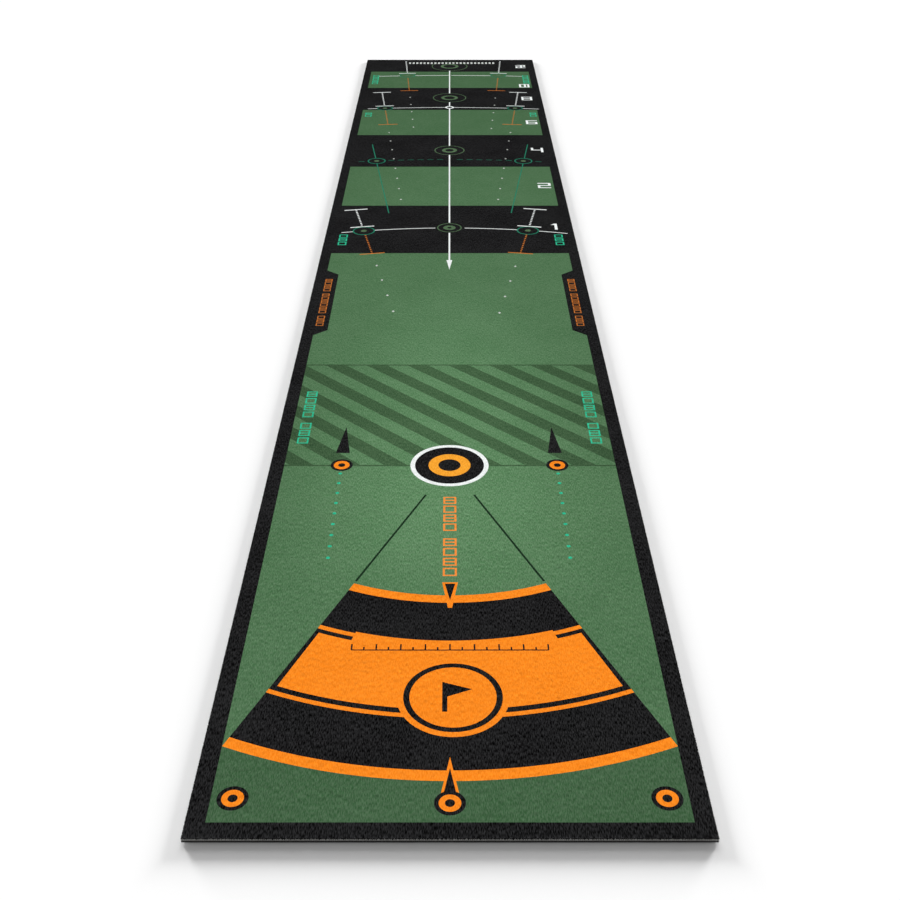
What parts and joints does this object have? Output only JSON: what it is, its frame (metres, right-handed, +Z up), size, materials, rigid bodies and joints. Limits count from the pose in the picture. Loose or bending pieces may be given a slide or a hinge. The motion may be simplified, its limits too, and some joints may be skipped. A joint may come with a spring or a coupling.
{
  "type": "practice putting mat",
  "caption": "Long flat putting practice mat: dyed cut pile on a rubber sheet, with a round target, an arc-shaped fan of bands, a striped field and cross bands.",
  "frame": {"origin": "middle of the rubber sheet's underside, the face that lies on the floor", "axes": "+Z up out of the pile, +Y along the mat from the player's end to the far end, +X to the player's right"},
  "size_m": [0.5, 3, 0.0054],
  "materials": {
    "rubber": "matte, fine waffle on the underside",
    "undyed_cloth": "woven, matte",
    "pile_black": "short cut pile, matte",
    "pile_green": "short cut pile, matte",
    "pile_orange": "short cut pile, matte",
    "pile_white": "short cut pile, matte"
  },
  "bodies": {
    "root": {"aim_arrow": "pile_black", "badge_field": "pile_orange", "badge_flag": "pile_black", "badge_ring": "pile_black", "band_1": "pile_black", "band_2": "pile_black", "band_3": "pile_black", "band_end": "pile_black", "border_left": "pile_black", "border_near": "pile_black", "border_right": "pile_black", "centre_line_1": "pile_white", "centre_line_2": "pile_white", "centre_line_3": "pile_white", "centre_line_4": "pile_white", "centre_spike": "pile_black", "fan_band_far": "pile_black", "fan_band_near": "pile_black", "fan_bracket_left": "pile_black", "fan_bracket_right": "pile_black", "fan_panel": "pile_orange", "fan_rim_far": "pile_orange", "fan_rim_near": "pile_orange", "gate_spike_left": "pile_black", "gate_spike_right": "pile_black", "green_1_left": "pile_green", "green_1_right": "pile_green", "green_2_left": "pile_green", "green_2_right": "pile_green", "green_3_left": "pile_green", "green_3_right": "pile_green", "green_near": "pile_green", "green_open": "pile_green", "green_sector": "pile_green", "green_side_left": "pile_green", "green_side_right": "pile_green", "mark_centre_core": "pile_black", "mark_centre_edge": "pile_black", "mark_centre_orange": "pile_orange", "mark_corner_left_core": "pile_black", "mark_corner_left_edge": "pile_black", "mark_corner_left_orange": "pile_orange", "mark_corner_right_core": "pile_black", "mark_corner_right_edge": "pile_black", "mark_corner_right_orange": "pile_orange", "mark_gate_left_core": "pile_black", "mark_gate_left_edge": "pile_black", "mark_gate_left_orange": "pile_orange", "mark_gate_right_core": "pile_black", "mark_gate_right_edge": "pile_black", "mark_gate_right_orange": "pile_orange", "primary_cloth": "undyed_cloth", "rubber_backing": "rubber", "striped_field": "pile_green", "target_black_ring": "pile_black", "target_core": "pile_black", "target_orange_ring": "pile_orange", "target_white_ring": "pile_white"}
  },
  "joints": []
}
